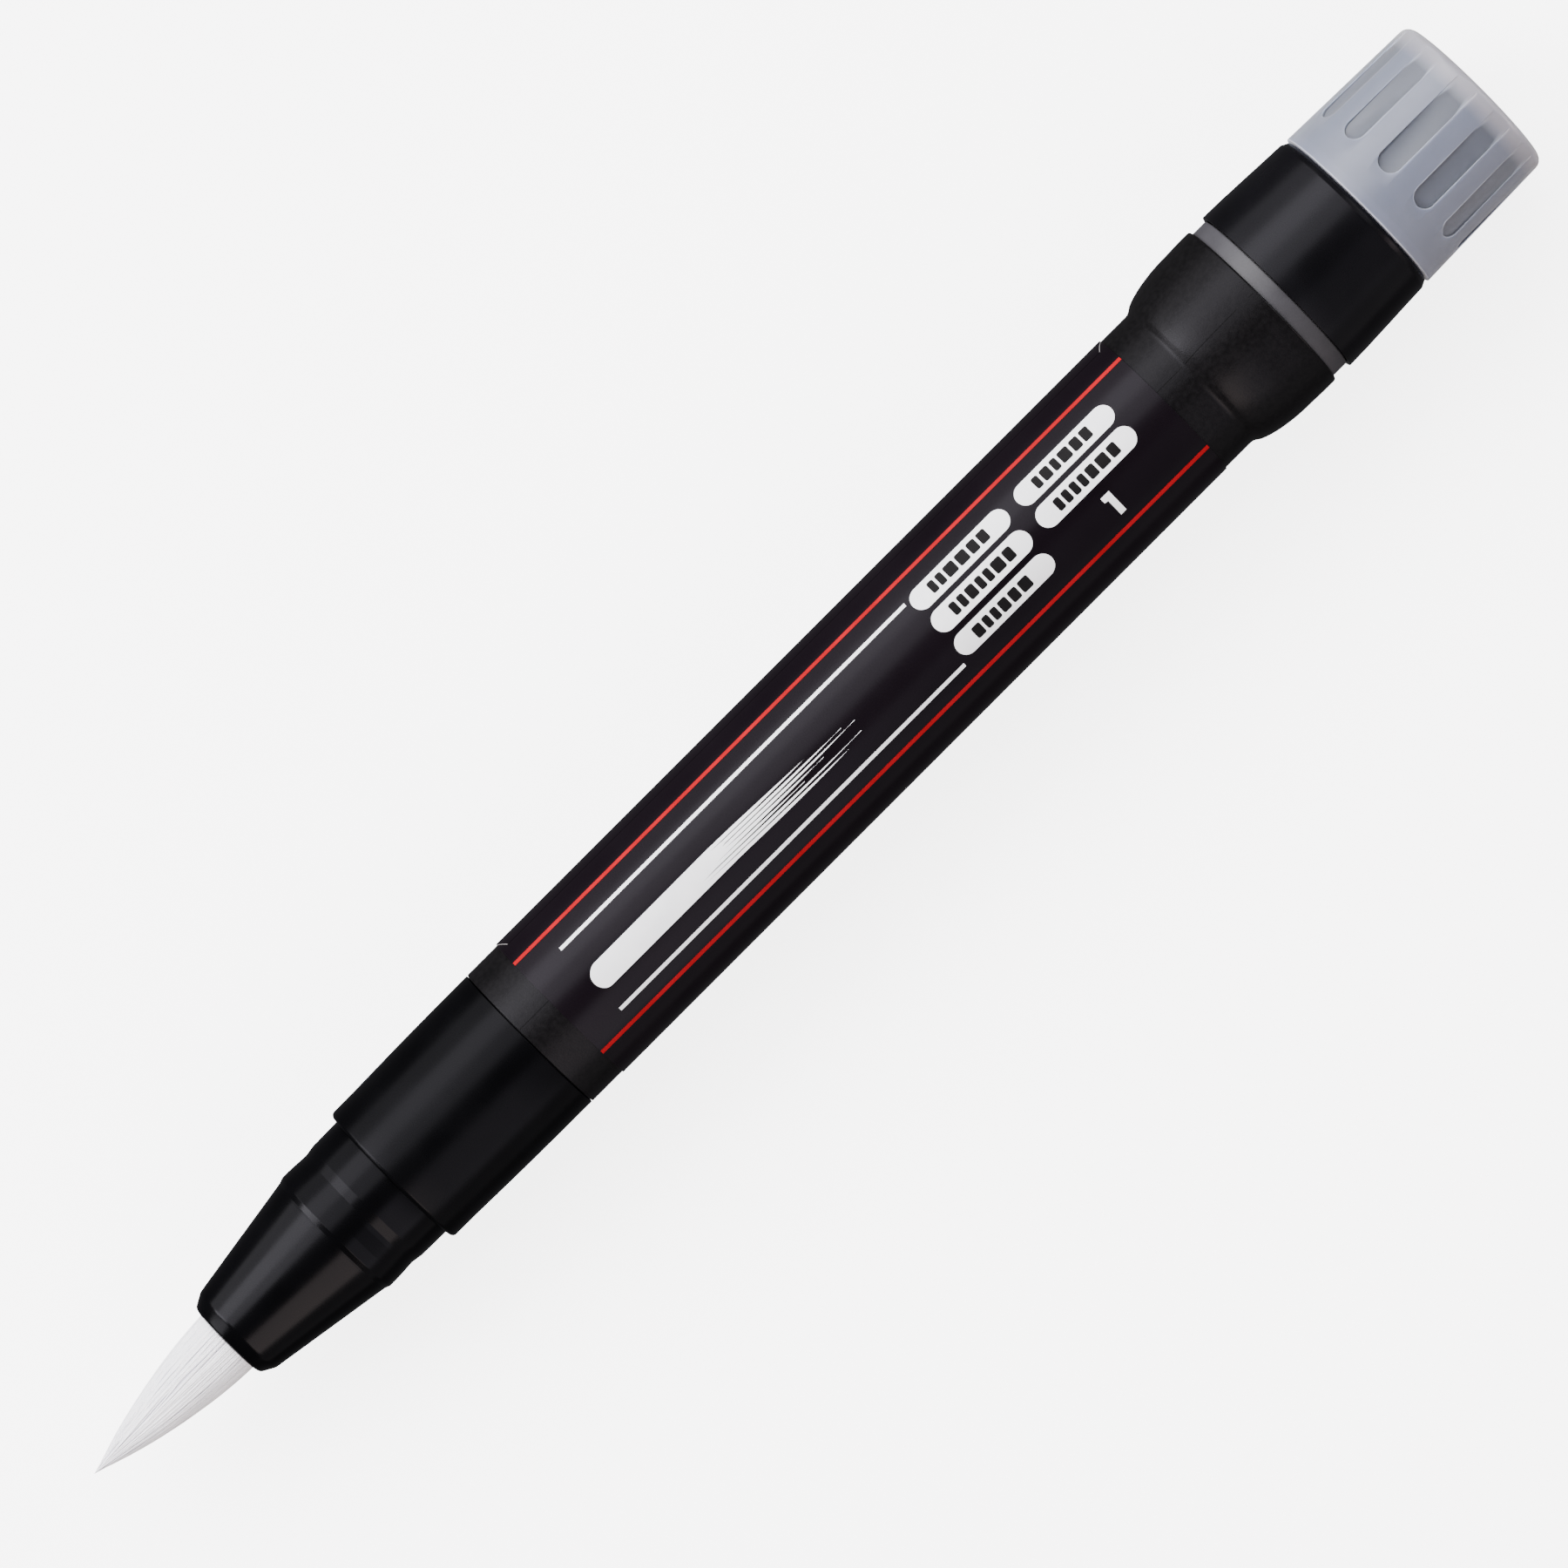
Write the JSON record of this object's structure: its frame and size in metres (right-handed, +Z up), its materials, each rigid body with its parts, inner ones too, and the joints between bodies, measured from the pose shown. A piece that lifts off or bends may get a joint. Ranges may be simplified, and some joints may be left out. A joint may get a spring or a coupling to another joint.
{
  "type": "brush pen",
  "caption": "Refill-free brush pen with a pointed white tuft, an ink barrel with a flared collar and a fluted tail knob that is pushed to let ink flow.",
  "frame": {"origin": "ground point under the middle of the pen as it lies on its side", "axes": "+X runs along the pen from the brush to the tail knob, +Z is up and faces the printed front of the label"},
  "size_m": [0.1692, 0.018, 0.018],
  "materials": {
    "matte_black_moulding": "fine moulded texture",
    "satin_black_film": "satin printed film",
    "gloss_black_front": "gloss",
    "gloss_black_nozzle": "gloss",
    "gloss_black_sleeve": "satin gloss",
    "grey_band": "satin",
    "frosted_knob": "frosted translucent",
    "white_bristle": "wet white filament",
    "natural_resin": "moulded",
    "black_rubber": "matte",
    "felt_white": "bonded fibre",
    "bright_steel": "bright"
  },
  "bodies": {
    "pen_body": {"barrel": "matte_black_moulding", "barrel_label": "satin_black_film", "front_section": "gloss_black_front", "nozzle": "gloss_black_nozzle", "brush_tuft": "white_bristle", "brush_holder": "natural_resin", "tuft_anchor": "natural_resin", "regulator_sponge": "felt_white", "feed_core": "felt_white", "valve_seat": "natural_resin", "valve_gasket": "black_rubber", "nozzle_gasket": "black_rubber", "valve_spring": "bright_steel", "rod_guide": "natural_resin", "tail_plug": "natural_resin", "rod_seal": "black_rubber", "tail_seal": "black_rubber", "joint_seal": "black_rubber", "return_spring": "bright_steel"},
    "pusher": {"end_knob": "frosted_knob", "knob_sleeve": "gloss_black_sleeve", "plunger_skirt": "grey_band", "knob_core": "natural_resin", "push_rod": "bright_steel", "rod_stop_ring": "bright_steel", "valve_poppet": "natural_resin"},
    "mixing_ball_1": {"mixing_ball_1": "bright_steel"},
    "mixing_ball_2": {"mixing_ball_2": "bright_steel"}
  },
  "joints": [
    {"name": "knob_push", "type": "slide", "parent": "pen_body", "child": "pusher", "axis": [-1, 0, 0], "range_m": [0, 0.00135], "stiffness_N_per_m": 1500, "springref_m": -0.001, "deforming": ["return_spring", "valve_spring"]},
    {"name": "ball_1_roll", "type": "slide", "parent": "pen_body", "child": "mixing_ball_1", "axis": [1, 0, 0], "range_m": [-0.0128, 0.0418]},
    {"name": "ball_2_roll", "type": "slide", "parent": "pen_body", "child": "mixing_ball_2", "axis": [1, 0, 0], "range_m": [-0.0128, 0.0418]}
  ]
}
